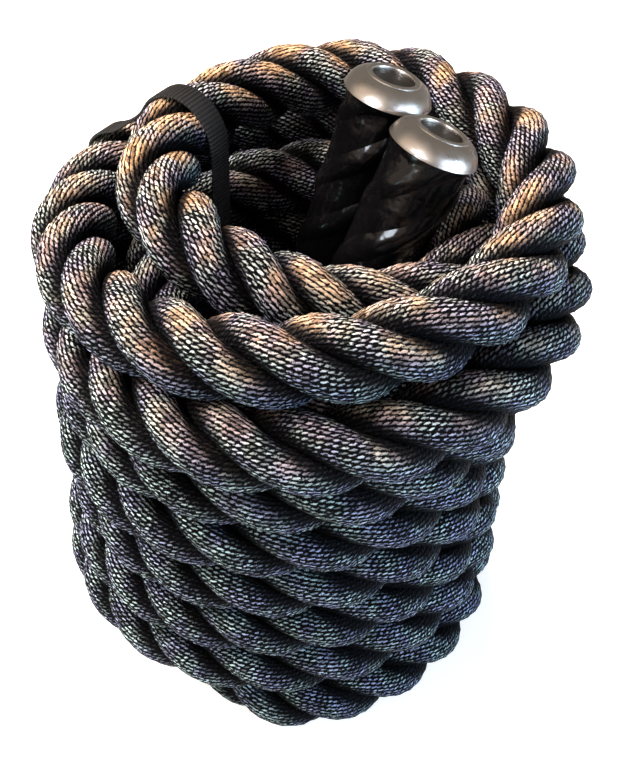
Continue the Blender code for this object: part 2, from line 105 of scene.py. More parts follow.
# %% Measures of the coil
ROPE_WIDTH = 0.036
ROPE_REACH = ROPE_WIDTH / 2
TURN_GAP, FLAT_DEPTH = 0.0014, ROPE_WIDTH / 10
PITCH = ROPE_WIDTH + TURN_GAP
FLOOR_HEIGHT = ROPE_REACH - FLAT_DEPTH
FIT = 0.0003
OUTER_RADII = (
    (0.1195, 0.1165, 0.1175, 0.1185),
    (0.1205, 0.1170, 0.1155, 0.1130),
    (0.1195, 0.1160, 0.1130, 0.1050),
    (0.1195, 0.1145, 0.1130, 0.1095),
    (0.1195, 0.1125, 0.1130, 0.1070),
    (0.1195, 0.1165, 0.1150, 0.1115),
    (0.1265, 0.1210, 0.1165, 0.1145),
    (0.1080, 0.1095, 0.1075, 0.1075),
)
START_ANGLE = 275
FLAT_TURNS, CLIMB_TURNS, CLIMB_AHEAD = 0.37, 0.79, 0.216
TOP_SINK, SINK_TURNS = 0.0018, (6.75, 7.05)
CROSS_TURNS, TURNING, TURNING_BLEND = (7.374, 7.634), 7.654, 0.0015
INNER_TOP_RADIUS, LAYER_GAP, INNER_DROP = 0.0705, 0.0018, 0.025
DROP_TURNS, WIDEN_TURNS, INNER_TURNS = (0.15, 0.48), (0.36, 0.52), 4.65
LEAN, LEAN_HEIGHTS = Vector((0.020, -0.010)), (0.111, 0.298)
LEAD_IN_BEND, LEAD_IN_ANGLE = 0.052, 110
RUN_OUT_BEND, RUN_OUT_ANGLE = 0.050, 55
TAIL_STRAIGHT = ROPE_WIDTH / 4
TAIL_REACHES = {"a": (0.089, 0.024), "b": (0.076, 0.200)}
CAP_PLACES = {"a": (0.0402, 0.0318, 0.0171), "b": (0.0566, -0.0082, 0.0108)}
GRIP_WAYS = {"a": (0.302, 0.065, 0.951), "b": (0.396, 0.119, 0.902)}
GRIP_LENGTH, HINGE_DEPTH = 0.150, 0.028
ROPE_IN_CAP = 2.5 * MM


# %% Heights and radii of the turns
def ramp(value, limits):
    """0 up to the first limit, 1 from the second on, smooth between."""
    part = min(max((value - limits[0]) / (limits[1] - limits[0]), 0.0), 1.0)
    return part * part * (3 - 2 * part)


def climbed(turn):
    """Pitches climbed by a place on the outer layer."""
    if turn <= FLAT_TURNS:
        return 0.0
    if turn >= CLIMB_TURNS:
        return turn + CLIMB_AHEAD
    span = CLIMB_TURNS - FLAT_TURNS
    part = (turn - FLAT_TURNS) / span
    return ramp(part, (0, 1)) * (CLIMB_TURNS + CLIMB_AHEAD) + part * part * (part - 1) * span


def outer_height(turn):
    return FLOOR_HEIGHT + PITCH * climbed(turn) - TOP_SINK * ramp(turn, SINK_TURNS)


def inner_height(turn):
    down = turn - TURNING
    return outer_height(TURNING) - PITCH * down - INNER_DROP * ramp(down, DROP_TURNS)


def coil_height(turn):
    heights = outer_height(turn), inner_height(turn)
    low = min(heights)
    shares = [math.exp((low - height) / TURNING_BLEND) for height in heights]
    return low - TURNING_BLEND * math.log(sum(shares))


def outer_radius(turn):
    """The outer layer's radius, run smoothly through its front, right, back and left on each turn."""
    places = [radius for row in OUTER_RADII for radius in row]
    quarter = 4 * turn + (START_ANGLE - 270) / 90
    number = math.floor(quarter)
    part = quarter - number
    near = [places[min(max(number + step, 0), len(places) - 1)] for step in (-1, 0, 1, 2)]
    slopes = (near[2] - near[0]) / 2, (near[3] - near[1]) / 2
    bends = slopes[0] * part * (1 - part) ** 2 - slopes[1] * part * part * (1 - part)
    return near[1] + (near[2] - near[1]) * ramp(part, (0, 1)) + bends


def inner_radius(turn):
    level = (inner_height(turn) - FLOOR_HEIGHT) / PITCH - CLIMB_AHEAD
    below = turn + math.floor(level - turn)
    between = outer_radius(below) + (outer_radius(below + 1) - outer_radius(below)) * (level - below)
    return between - PITCH - LAYER_GAP


def coil_radius(turn):
    crossed = outer_radius(turn)
    crossed += (INNER_TOP_RADIUS - crossed) * ramp(turn, CROSS_TURNS)
    if turn < TURNING:
        return crossed
    return crossed + (inner_radius(turn) - crossed) * ramp(turn - TURNING, WIDEN_TURNS)


print("turns on the outer layer:", round(TURNING, 1), "and on the inner one:", INNER_TURNS)


# %% [markdown]
# The turns are read off as points, with an arc and a straight piece at each end of the coil. Each free
# stretch is a smooth curve with four corners, which leaves the coil's end and meets the grip in line.

# %% Points on the coil
def way(angle):
    return Vector((math.cos(angle), math.sin(angle)))


def coil_angle(turn):
    return math.radians(START_ANGLE + 360 * turn)


def coil_middle(turn):
    return LEAN * ramp(coil_height(turn), LEAN_HEIGHTS)


def coil_point(turn):
    return Vector((*(coil_middle(turn) + coil_radius(turn) * way(coil_angle(turn))), coil_height(turn)))


# %% Ends of the coil
def arc_off(radius, bend, angle, turned, steps=24):
    middle = (radius - bend) * way(angle)
    return [middle + bend * way(angle + turned * step / steps) for step in range(1, steps + 1)]


def lead_in():
    turned = -math.radians(LEAD_IN_ANGLE)
    arc = arc_off(OUTER_RADII[0][0], LEAD_IN_BEND, coil_angle(0), turned)
    heading = way(coil_angle(0) + turned + math.pi / 2)
    clear = ROPE_REACH + FIT
    points = [Vector((*(arc[-1] - heading * ROPE_WIDTH), clear))]
    for step, flat in enumerate(reversed(arc)):
        share = ramp(1 - step / (len(arc) - 1), (0, 1))
        points.append(Vector((*flat, FLOOR_HEIGHT + (clear - FLOOR_HEIGHT) * share)))
    return points


def run_out(last):
    turned = math.radians(RUN_OUT_ANGLE)
    radius = coil_radius(last)
    arc = arc_off(radius, RUN_OUT_BEND, coil_angle(last), turned)
    heading = way(coil_angle(last) + turned + math.pi / 2)
    fall = PITCH / (2 * math.pi * radius)
    step = RUN_OUT_BEND * turned / len(arc)
    lengths = [step * (number + 1) for number in range(len(arc))] + [RUN_OUT_BEND * turned + ROPE_WIDTH]
    start = coil_point(last)
    flats = arc + [arc[-1] + heading * ROPE_WIDTH]
    middle = coil_middle(last)
    return [Vector((*(middle + flat), start.z - fall * length)) for flat, length in zip(flats, lengths)]


# %% Free stretches
def curve_between(start, start_way, end, end_way, reaches, steps=40):
    first, last = start + start_way * TAIL_STRAIGHT, end - end_way * TAIL_STRAIGHT
    corners = first, first + start_way * reaches[0], last - end_way * reaches[1], last
    points = [start]
    for step in range(steps + 1):
        part = step / steps
        weights = (1 - part) ** 3, 3 * part * (1 - part) ** 2, 3 * part * part * (1 - part), part**3
        pulls = [corner * weight for corner, weight in zip(corners, weights)]
        points.append(sum(pulls, Vector((0, 0, 0))))
    return points + [end]


# %% The whole way
STEPS_PER_TURN = 96
last_turn = TURNING + INNER_TURNS
turn_steps = round(last_turn * STEPS_PER_TURN)
turn_points = [coil_point(last_turn * step / turn_steps) for step in range(turn_steps + 1)]
coil_route = [FOOT_AXIS + point for point in lead_in() + turn_points + run_out(last_turn)]

top_middle = FOOT_AXIS + Vector((*LEAN, coil_height(TURNING)))
rims, ups, feet, tails = {}, {}, {}, {}
ends = {
    "a": (coil_route[0], (coil_route[0] - coil_route[1]).normalized()),
    "b": (coil_route[-1], (coil_route[-1] - coil_route[-2]).normalized()),
}
for letter, (place, leaving) in ends.items():
    rims[letter] = top_middle + Vector(CAP_PLACES[letter])
    ups[letter] = Vector(GRIP_WAYS[letter]).normalized()
    feet[letter] = rims[letter] - ups[letter] * (GRIP_LENGTH + FIT)
    tails[letter] = curve_between(place, leaving, feet[letter], ups[letter], TAIL_REACHES[letter])
print("cap a stands at", [round(value * 1000) for value in rims["a"]], "mm")

# %% [markdown]
# ## Three strands
# A laid rope is three round strands that wind round each other, and its look comes from their lobes. The
# whole rope is read off at even steps, with a frame carried along it that doesn't twist. A strand's
# middle runs round that frame once every 105 mm, which gives the lobe spacing of the photograph. Each
# ring of points is square to its own strand, so the strands stay round.
# A mesh was chosen and not a curve with a bevel, because the weave needs a map that runs along each
# strand: across it goes once round, starting on the crown, and up it is the length in metres.
# A strand's radius and the distance of its middle are shares of the crowns' reach. The maps of the three
# strands start apart, so that no two look alike.

# %% Even steps and a frame that doesn't twist
STEP = 4 * MM
LAY_LENGTH = 105 * MM
CROWN_REACH = 19.7 * MM
INSIDE_REACH = 17.1 * MM
STRAND_SHARE = 0.464
LAY_SHARE = 0.536
STRAND_SIDES = 12
STRAND_START = 0.37
PRESSED = 0.2 * MM
SHRUNK_OVER = 14 * MM


def evened(points, step):
    """The points again at even steps along their way, and how far along each is."""
    places = np.array(points)
    along = np.concatenate([[0], np.cumsum(np.linalg.norm(np.diff(places, axis=0), axis=1))])
    count = math.ceil(along[-1] / step)
    at = np.linspace(0, along[-1], count + 1)
    even = np.stack([np.interp(at, along, places[:, axis]) for axis in range(3)], axis=1)
    for _ in range(3):
        even[1:-1] = (even[:-2] + 2 * even[1:-1] + even[2:]) / 4
    return even, at


def untwisted(places):
    """Unit ways along the line and across it, carried along with no twist."""
    along = np.gradient(places, axis=0)
    along /= np.linalg.norm(along, axis=1)[:, None]
    across = np.zeros_like(along)
    side = np.cross(along[0], (0.0, 0.0, 1.0))
    if np.linalg.norm(side) < 0.2:
        side = np.cross(along[0], (1.0, 0.0, 0.0))
    for number, heading in enumerate(along):
        side = side - heading * (side @ heading)
        side /= np.linalg.norm(side)
        across[number] = side
    return along, across, np.cross(along, across)


def straight_grip(letter):
    """Points of the rope inside a grip, from under its cap to its foot."""
    top = rims[letter] + ups[letter] * ROPE_IN_CAP
    return [top.lerp(feet[letter], step / 20) for step in range(21)]


stretch_a = straight_grip("a")[:-1] + tails["a"][::-1]
stretch_b = tails["b"] + straight_grip("b")[::-1][1:]
rope_line, rope_at = evened(stretch_a[:-1] + coil_route + stretch_b[1:], STEP)
rope_along, rope_across, rope_over = untwisted(rope_line)


def line_length(points):
    return sum((after - before).length for before, after in zip(points, points[1:]))


coil_from = int(np.searchsorted(rope_at, line_length(stretch_a)))
coil_to = int(np.searchsorted(rope_at, rope_at[-1] - line_length(stretch_b)))
print("whole rope:", round(rope_at[-1], 2), "m in", len(rope_line), "steps")

# %% [markdown]
# The twist of a real rope isn't quite even. A short table says how far the lobes run ahead of an even lay,
# as a share of one lobe, at some places counted in turns, so that they lie where the photograph shows them.

# %% Where the lobes lie
LOBES_AHEAD = (
    (0.875, 0.06), (1.0, -0.14), (1.1, -0.27), (2.0, 0.29), (3.0, 0.0), (4.0, -0.1), (5.0, -0.42),
    (6.05, -0.45), (6.7, 0.02), (6.85, 0.07), (7.0, 0.28), (7.1, 0.33), (7.25, 0.19),
    (7.45, -0.07), (7.75, -0.2), (7.875, -0.25), (8.0, 0.35),
)
EASED_STEPS = 15


def nearest_step(turn):
    """The rope's step that lies nearest to a place on the coil."""
    return int(np.linalg.norm(rope_line - np.array(FOOT_AXIS + coil_point(turn)), axis=1).argmin())


knots = [nearest_step(turn) for turn, ahead in LOBES_AHEAD]
lobes_ahead = np.interp(rope_at, rope_at[knots], [ahead for turn, ahead in LOBES_AHEAD])
padded = np.pad(lobes_ahead, EASED_STEPS // 2, mode="edge")
lobes_ahead = np.convolve(padded, np.ones(EASED_STEPS) / EASED_STEPS, mode="valid")
windings = 2 * math.pi * (rope_at / LAY_LENGTH + lobes_ahead / 3)
winding_speed = np.gradient(windings, rope_at)
lays = [2 * math.pi / speed / MM for speed in (winding_speed.max(), winding_speed.min())]
print("lay in mm, shortest and longest:", [round(lay, 1) for lay in lays])

# %% [markdown]
# Each strand is drawn as rings of points, joined by faces of four corners. Its map and its crowns come
# from the same numbers. A second value is kept at each point: it says how far the point faces up near
# the top of the coil, and there the colour gets a painted brown sheen, as if lit from above.

# %% Rings of one strand
def rope_reaches():
    """The crowns' distance from the middle: a little less inside the sleeves."""
    inside = GRIP_LENGTH + ROPE_IN_CAP
    from_end = np.minimum(rope_at, rope_at[-1] - rope_at)
    share = np.clip((from_end - inside) / SHRUNK_OVER, 0, 1)
    return INSIDE_REACH + (CROWN_REACH - INSIDE_REACH) * share


reaches = rope_reaches()
ring_angles = np.linspace(0, 2 * math.pi, STRAND_SIDES, endpoint=False)


def strand_rings(span, strand):
    """Rings of points round one strand, and the unit ways that they face."""
    turn = windings[span] + 2 * math.pi * strand / 3
    cosine, sine = np.cos(turn)[:, None], np.sin(turn)[:, None]
    out = cosine * rope_across[span] + sine * rope_over[span]
    round_way = -sine * rope_across[span] + cosine * rope_over[span]
    reach = reaches[span][:, None]
    heading = rope_along[span] + round_way * reach * LAY_SHARE * winding_speed[span][:, None]
    heading /= np.linalg.norm(heading, axis=1)[:, None]
    side = np.cross(heading, out)
    middle = rope_line[span] + out * reach * LAY_SHARE
    ring_cosine, ring_sine = np.cos(ring_angles)[None, :, None], np.sin(ring_angles)[None, :, None]
    normals = out[:, None] * ring_cosine + side[:, None] * ring_sine
    rings = middle[:, None] + normals * reach[:, None] * STRAND_SHARE
    rings[..., 2] = np.maximum(rings[..., 2], PRESSED)
    return rings, normals


# %% Faces and map of one strand
def strand_faces(count):
    """The numbers of the four corners of each face."""
    number = np.arange(count - 1)[:, None] * STRAND_SIDES
    here = np.arange(STRAND_SIDES)[None]
    after = (here + 1) % STRAND_SIDES
    near, far = (number + here, number + after), (number + STRAND_SIDES + after, number + STRAND_SIDES + here)
    return np.stack([*near, *far], axis=-1).reshape(-1, 4)


def strand_places(lengths):
    """The map's place of each corner of each face: once round the strand, and metres along it."""
    shape = len(lengths) - 1, STRAND_SIDES
    low_round = np.broadcast_to(np.arange(STRAND_SIDES)[None] / STRAND_SIDES, shape)
    high_round = low_round + 1 / STRAND_SIDES
    low = np.broadcast_to(lengths[:-1, None], shape)
    high = np.broadcast_to(lengths[1:, None], shape)
    round_it = np.stack([low_round, high_round, high_round, low_round], axis=-1).ravel()
    return np.stack([round_it, np.stack([low, low, high, high], axis=-1).ravel()], axis=-1)


# %% Strand meshes
# How high on the coil a point is, and how far up it faces, steer the painted brown sheen.
SHEEN_FROM, SHEEN_SPAN = 0.18, 0.12
FACING_GAIN, FACING_LOSS = 1.7, 0.25
sheen_heights = np.clip((rope_line[:, 2] - SHEEN_FROM) / SHEEN_SPAN, 0, 1)
strand_speed = math.hypot(1, 2 * math.pi * CROWN_REACH * LAY_SHARE / LAY_LENGTH)


def laid_rope(name, first, last):
    """The three strands from one step to another, as one mesh with a map along each strand."""
    span = slice(first, last + 1)
    count = last + 1 - first
    corners, faces, places, sheen_shares = [], [], [], []
    for strand in range(3):
        rings, normals = strand_rings(span, strand)
        facing = np.clip(FACING_GAIN * normals[..., 2] - FACING_LOSS, 0, 1)
        corners.append(rings.reshape(-1, 3))
        faces.append(strand_faces(count) + strand * count * STRAND_SIDES)
        places.append(strand_places(rope_at[span] * strand_speed + strand * STRAND_START))
        sheen_shares.append((sheen_heights[span][:, None] * facing).ravel())
    mesh = bpy.data.meshes.new(name)
    mesh.from_pydata(np.concatenate(corners).tolist(), [], np.concatenate(faces).tolist())
    strand_map = mesh.uv_layers.new(name="strand_map")
    strand_map.data.foreach_set("uv", np.concatenate(places).ravel())
    warm_sheen = mesh.attributes.new("warm_sheen", "FLOAT", "POINT")
    warm_sheen.data.foreach_set("value", np.concatenate(sheen_shares).astype(np.float32))
    mesh.polygons.foreach_set("use_smooth", [True] * len(mesh.polygons))
    piece = bpy.data.objects.new(name, mesh)
    bpy.context.scene.collection.objects.link(piece)
    return piece


# %% [markdown]
# The flat ends of the strands are closed, so that each piece is a solid. The new faces are small and
# lie inside the sleeves or against the next piece of rope.

# %% Pieces of rope
def edit(piece):
    """Opens one piece's mesh for editing."""
    bpy.ops.object.select_all(action="DESELECT")
    bpy.context.view_layer.objects.active = piece
    piece.select_set(True)
    bpy.ops.object.mode_set(mode="EDIT")


def close_ends(piece):
    edit(piece)
    bpy.ops.mesh.select_all(action="DESELECT")
    bpy.ops.mesh.select_mode(type="EDGE")
    bpy.ops.mesh.select_non_manifold()
    bpy.ops.mesh.fill_holes(sides=0)
    bpy.ops.mesh.select_all(action="SELECT")
    bpy.ops.mesh.normals_make_consistent(inside=False)
    bpy.ops.object.mode_set(mode="OBJECT")


coiled_rope = laid_rope("coiled_rope", coil_from, coil_to)
grip_rope_a = laid_rope("grip_rope_a", 0, coil_from)
grip_rope_b = laid_rope("grip_rope_b", coil_to, len(rope_line) - 1)
for piece in (coiled_rope, grip_rope_a, grip_rope_b):
    close_ends(piece)
    print(piece.name, len(piece.data.polygons), "faces")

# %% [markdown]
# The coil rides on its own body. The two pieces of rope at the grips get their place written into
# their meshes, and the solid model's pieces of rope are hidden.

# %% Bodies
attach(coiled_rope, "coil")
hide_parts("rope_coil")
for letter, piece in (("a", grip_rope_a), ("b", grip_rope_b)):
    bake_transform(piece)
    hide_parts(f"rope_tail_{letter}", f"rope_end_{letter}")


# %% [markdown]
# ## Helpers for the finishes
# Colours are written as in a paint program, as sRGB hex, and one function turns them into the linear
# values that the shader works in. One more function adds a node with its settings and its links, and the
# short ones after it name the kinds of node that the finishes use over and over.

# %% Colour and node helpers
def linear(hex_colour):
    parts = [int(hex_colour[place : place + 2], 16) / 255 for place in (1, 3, 5)]
    return (*[part / 12.92 if part <= 0.04045 else ((part + 0.055) / 1.055) ** 2.4 for part in parts], 1)


def add_node(tree, kind, links=(), **settings):
    """Adds one node. Settings are its properties, and links are pairs of a socket and a value or output."""
    made = tree.nodes.new(kind)
    for name, value in settings.items():
        setattr(made, name, value)
    for socket, source in links:
        if isinstance(source, bpy.types.NodeSocket):
            tree.links.new(source, made.inputs[socket])
        else:
            made.inputs[socket].default_value = source
    return made


def calc(tree, operation, *values, **settings):
    """The result of a Math node."""
    return add_node(tree, "ShaderNodeMath", enumerate(values), operation=operation, **settings).outputs[0]


def mapped(tree, value, start, end, low=0.0, high=1.0, **settings):
    """A value moved from start to end onto low to high, and held between them."""
    links = [("Value", value), ("From Min", start), ("From Max", end), ("To Min", low), ("To Max", high)]
    return add_node(tree, "ShaderNodeMapRange", links, **settings).outputs[0]


def noise(tree, place, scale, detail, rough=0.5):
    """The grey value of a Noise node."""
    links = [("Vector", place), ("Scale", scale), ("Detail", detail), ("Roughness", rough)]
    return add_node(tree, "ShaderNodeTexNoise", links).outputs["Fac"]


def joined(tree, across, along):
    """A flat vector made from two values."""
    return add_node(tree, "ShaderNodeCombineXYZ", [("X", across), ("Y", along), ("Z", 0.0)]).outputs[0]


def mixed(tree, share, first, second):
    """The colour between two others."""
    links = [("Factor", share), (6, first), (7, second)]
    return add_node(tree, "ShaderNodeMix", links, data_type="RGBA").outputs[2]


def map_parts(tree, name):
    """The place across and along a piece, from its own map."""
    own_map = add_node(tree, "ShaderNodeUVMap", uv_map=name)
    parts = add_node(tree, "ShaderNodeSeparateXYZ", [(0, own_map.outputs["UV"])])
    return parts.outputs["X"], parts.outputs["Y"]


def emboss(tree, shader, height, distance):
    """Raises the shader's surface by a height times a distance in metres."""
    bump = add_node(tree, "ShaderNodeBump", [("Height", height), ("Distance", distance)])
    tree.links.new(bump.outputs[0], shader.inputs["Normal"])


def new_material(name):
    """A material with its shader, whose sockets are set by the finish."""
    material = bpy.data.materials.new(name)
    material.use_nodes = True
    return material, material.node_tree, material.node_tree.nodes["Principled BSDF"]


def dress(piece, material):
    piece.data.materials.clear()
    piece.data.materials.append(material)
    print(piece.name, "is made of", material.name)


# %% [markdown]
# ## Laid polyester
# Each strand is a bundle of twisted yarns. The yarns on a strand's crown run almost in line with the
# rope, because they are twisted against the strand, so their ridges cross the strand at about 35
# degrees. Every yarn is itself two plies, which makes short slanting stitches about 2.6 mm long.
# Both patterns come from the map along the strand. The ridges are counted so that a whole number of
# them goes once round, which leaves no seam.
# The fibres are black. Their shine is painted into the colour as a painted sheen, brown on the top turns
# and blue grey lower down, and painted shade keeps the grooves black.

# %% Rope finish
YARNS_ROUND = 24
STITCH_LENGTH = 2.6 * MM
strand_reach = CROWN_REACH * STRAND_SHARE
lay_slope = 2 * math.pi * CROWN_REACH * LAY_SHARE / LAY_LENGTH
yarn_drift = YARNS_ROUND * lay_slope / (2 * math.pi * strand_reach)
print("yarn width in mm:", round(2 * math.pi * strand_reach / YARNS_ROUND / MM, 2))

rope_black, tree, shader = new_material("laid_black_polyester")
round_it, along_it = map_parts(tree, "strand_map")
place = add_node(tree, "ShaderNodeTexCoord").outputs["Object"]
patches = noise(tree, place, 45.0, 2.0)

yarn = calc(tree, "MULTIPLY_ADD", round_it, YARNS_ROUND, calc(tree, "MULTIPLY", along_it, yarn_drift))
across_yarn = calc(tree, "FRACT", yarn)
yarn_name = calc(tree, "WRAP", calc(tree, "FLOOR", yarn), YARNS_ROUND, 0.0)
yarn_chance = add_node(tree, "ShaderNodeTexWhiteNoise", [("W", yarn_name)], noise_dimensions="1D")
ridge = calc(tree, "SINE", calc(tree, "MULTIPLY", across_yarn, math.pi))

slanted = calc(tree, "MULTIPLY_ADD", across_yarn, 0.85, yarn_chance.outputs["Value"])
stitch_count = calc(tree, "MULTIPLY_ADD", along_it, 1 / STITCH_LENGTH, slanted)
stitch = calc(tree, "SINE", calc(tree, "MULTIPLY", calc(tree, "FRACT", stitch_count), math.pi))
stitch_depth = mapped(tree, patches, 0.42, 0.62, 0.8, 0.5)
stitch_share = calc(tree, "MULTIPLY_ADD", calc(tree, "SUBTRACT", stitch, 1.0), stitch_depth, 1.0)
stitch_name = joined(tree, yarn_name, calc(tree, "FLOOR", stitch_count))
stitch_chance = add_node(tree, "ShaderNodeTexWhiteNoise", [("Vector", stitch_name)], noise_dimensions="2D")
stitch_light = mapped(tree, stitch_chance.outputs["Value"], 0.0, 1.0, 0.25, 1.15)

# %% [markdown]
# Single filaments run in each yarn, and loose fuzz stands off it. Both break up the even stitches. The
# filaments are a noise that is stretched along the yarn, and moved on from one yarn to the next so that
# no two look alike.

# %% Filaments and fuzz
FILAMENTS_ACROSS, FILAMENTS_ALONG, YARN_OFFSET = 3.0, 420.0, 17.3
yarn_offset = calc(tree, "MULTIPLY", yarn_name, YARN_OFFSET)
filament_round = calc(tree, "MULTIPLY_ADD", across_yarn, FILAMENTS_ACROSS, yarn_offset)
filament_place = joined(tree, filament_round, calc(tree, "MULTIPLY", along_it, FILAMENTS_ALONG))
filaments = noise(tree, filament_place, 1.0, 2.0, 0.6)
fuzz = noise(tree, place, 800.0, 3.0, 0.7)
weave = calc(tree, "MULTIPLY", calc(tree, "MULTIPLY", ridge, stitch_share), 0.75)
weave = calc(tree, "MULTIPLY_ADD", filaments, 1.0, weave)
weave = calc(tree, "MULTIPLY_ADD", fuzz, 1.5, weave)
emboss(tree, shader, weave, 0.8 * MM)
print("nodes for the weave:", len(tree.nodes))

# %% [markdown]
# The strands' light is painted into the colour: a painted highlight on their crowns, and painted shade on
# their flanks and in the grooves. On the top turns the painted sheen is brown in patches, and elsewhere
# it wanders between violet grey and a cold green grey.

# %% Rope colours, with painted sheen and shade
# Painted shade and highlight: the colour is brightest on each strand's crown and darkens to black on its
# flanks and in the grooves.
crown = calc(tree, "COSINE", calc(tree, "MULTIPLY", round_it, 2 * math.pi))
groove_shade = mapped(tree, crown, 0.15, 0.95, 0.03, 1.1, interpolation_type="SMOOTHSTEP")
# The painted sheen: brown light from above is painted into the colour in patches, high on the coil.
warm_sheen = add_node(tree, "ShaderNodeAttribute", attribute_name="warm_sheen").outputs["Fac"]
warm_sheen_patches = mapped(tree, patches, 0.4, 0.6, 0.3, 1.05)
warm_sheen_share = calc(tree, "MULTIPLY", warm_sheen, warm_sheen_patches, use_clamp=True)
fuller = calc(tree, "MULTIPLY_ADD", warm_sheen_share, 0.28, weave)
# Where the weave stands high, the yarns get the painted sheen; between them the colour stays black.
mask = mapped(tree, fuller, 1.66, 2.04, interpolation_type="SMOOTHSTEP")
tint = mapped(tree, noise(tree, place, 70.0, 1.0), 0.42, 0.58)
# The light sheen colours are painted light over the black of the fibres: cold greys low down, brown on top.
cold = mixed(tree, tint, linear("#a9b0d6"), linear("#c4dce2"))
fibre_sheen = mixed(tree, warm_sheen_share, cold, linear("#cfa985"))
lit = calc(tree, "MULTIPLY", calc(tree, "MULTIPLY", mask, stitch_light), groove_shade, use_clamp=True)
tree.links.new(mixed(tree, lit, linear("#09090b"), fibre_sheen), shader.inputs["Base Color"])
shader.inputs["Roughness"].default_value = 0.55
shader.inputs["Specular IOR Level"].default_value = 0.02
for piece in (coiled_rope, grip_rope_a, grip_rope_b):
    dress(piece, rope_black)

# %% [markdown]
# ## Shrunk sleeves
# The grip is a plastic tube that was slipped over the rope's end and heated until it shrank on it. It is
# smooth and glossy, but the three strands under it still show as soft lobes that wind round, and the
# photograph's highlights sit on those.
# Its outline is spun round the grip's axis, and the points between the lobes are then moved in.

# %% Spun pieces
SLEEVE_BORE, SLEEVE_REACH = 19.2 * MM, 20.5 * MM


def grip_frame(letter):
    """From a drawing with the cap's rim at height 0 to the grip's place."""
    return Matrix.Translation(rims[letter]) @ ups[letter].to_track_quat("Z", "Y").to_matrix().to_4x4()


def spun(name, outline, steps):
    """A closed outline of radii and heights, spun once round the Z axis."""
    mesh = bpy.data.meshes.new(name)
    places = [(radius, 0, height) for radius, height in outline]
    edges = [(number, (number + 1) % len(places)) for number in range(len(places))]
    mesh.from_pydata(places, edges, [])
    piece = bpy.data.objects.new(name, mesh)
    bpy.context.scene.collection.objects.link(piece)
    edit(piece)
    bpy.ops.mesh.select_all(action="SELECT")
    bpy.ops.mesh.spin(steps=steps, angle=2 * math.pi, center=(0, 0, 0), axis=(0, 0, 1))
    bpy.ops.mesh.select_all(action="SELECT")
    bpy.ops.mesh.remove_doubles(threshold=0.01 * MM)
    bpy.ops.mesh.normals_make_consistent(inside=False)
    bpy.ops.object.mode_set(mode="OBJECT")
    bpy.ops.object.shade_smooth_by_angle(angle=math.radians(40))
    return piece


def set_in_place(piece, letter):
    """Puts a piece that was drawn with its axis upright on its grip, with its place in its mesh."""
    piece.data.transform(grip_frame(letter))
    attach(piece, f"grip_{letter}")


def sleeve_outline():
    foot = -GRIP_LENGTH
    outline = [(SLEEVE_BORE, 1.2 * MM), (SLEEVE_REACH - 0.5 * MM, 1.2 * MM), (SLEEVE_REACH, 0.7 * MM)]
    steps = 60
    top, low = -2 * MM, foot + 7 * MM
    outline += [(SLEEVE_REACH, top + (low - top) * step / steps) for step in range(steps + 1)]
    outline += [(20.1 * MM, foot + 4 * MM), (19.5 * MM, foot + 1.5 * MM), (19.3 * MM, foot + 0.4 * MM)]
    outline += [(18.9 * MM, foot), (18.3 * MM, foot), (18.3 * MM, foot + 1.5 * MM)]
    outline.append((SLEEVE_BORE, foot + 8 * MM))
    return outline


# %% Sleeves
LOBE_DEPTH = 3.2 * MM
LOBE_SHIFTS = {"a": 0.35, "b": -1.8}
LOBES_START, LOBES_END = (1 * MM, 7 * MM), (5 * MM, 16 * MM)
LOBE_REACH, RING_IN_GRIP, SLEEVE_STEPS = 20 * MM, 12, 72
sleeves = {}
for letter in "ab":
    sleeve = spun(f"shrunk_sleeve_{letter}", sleeve_outline(), SLEEVE_STEPS)
    ring = RING_IN_GRIP if letter == "a" else len(rope_line) - 1 - RING_IN_GRIP
    turn = windings[ring]
    outward = math.cos(turn) * rope_across[ring] + math.sin(turn) * rope_over[ring]
    crown = grip_frame(letter).inverted() @ Vector(rope_line[ring] + LOBE_REACH * outward)
    phase = math.atan2(crown.y, crown.x) - 2 * math.pi * crown.z / LAY_LENGTH + LOBE_SHIFTS[letter]
    for vertex in sleeve.data.vertices:
        flat = math.hypot(vertex.co.x, vertex.co.y)
        angle = math.atan2(vertex.co.y, vertex.co.x)
        lobe = math.cos(3 * (angle - phase - 2 * math.pi * vertex.co.z / LAY_LENGTH))
        eased = ramp(-vertex.co.z, LOBES_START) * ramp(vertex.co.z + GRIP_LENGTH, LOBES_END)
        change = LOBE_DEPTH * (lobe - 1) / 2 * eased
        vertex.co.x *= (flat + change) / flat
        vertex.co.y *= (flat + change) / flat
    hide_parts(f"grip_sleeve_{letter}")
    set_in_place(sleeve, letter)
    sleeves[letter] = sleeve
print("sleeve faces:", len(sleeves["a"].data.polygons))

# %% [markdown]
# Shrinking leaves shallow dents, which break up the long highlights, and hands leave fine scuffs, which
# make them a little softer in places. Both are noise: one raises the surface, one roughens it.

# %% Sleeve finish
sleeve_black, tree, shader = new_material("glossy_heat_shrunk_polyolefin")
place = add_node(tree, "ShaderNodeTexCoord").outputs["Object"]
dents = noise(tree, place, 95.0, 2.0)
scuffs = noise(tree, place, 420.0, 4.0, 0.65)
tree.links.new(mapped(tree, scuffs, 0.35, 0.75, 0.15, 0.24), shader.inputs["Roughness"])
emboss(tree, shader, dents, 1.2 * MM)
shader.inputs["Base Color"].default_value = linear("#050506")
shader.inputs["Specular IOR Level"].default_value = 0.34
for sleeve in sleeves.values():
    dress(sleeve, sleeve_black)

# %% [markdown]
# ## Caps
# Each grip ends in a pressed cap of satin metal: a short skirt with a rolled lip, a cone that swells a
# little, and a raised ring round a flat round recess. The real one carries a mark in the recess; here it
# holds a plain brushed disc. The outline is drawn in millimetres from the rim up and spun.

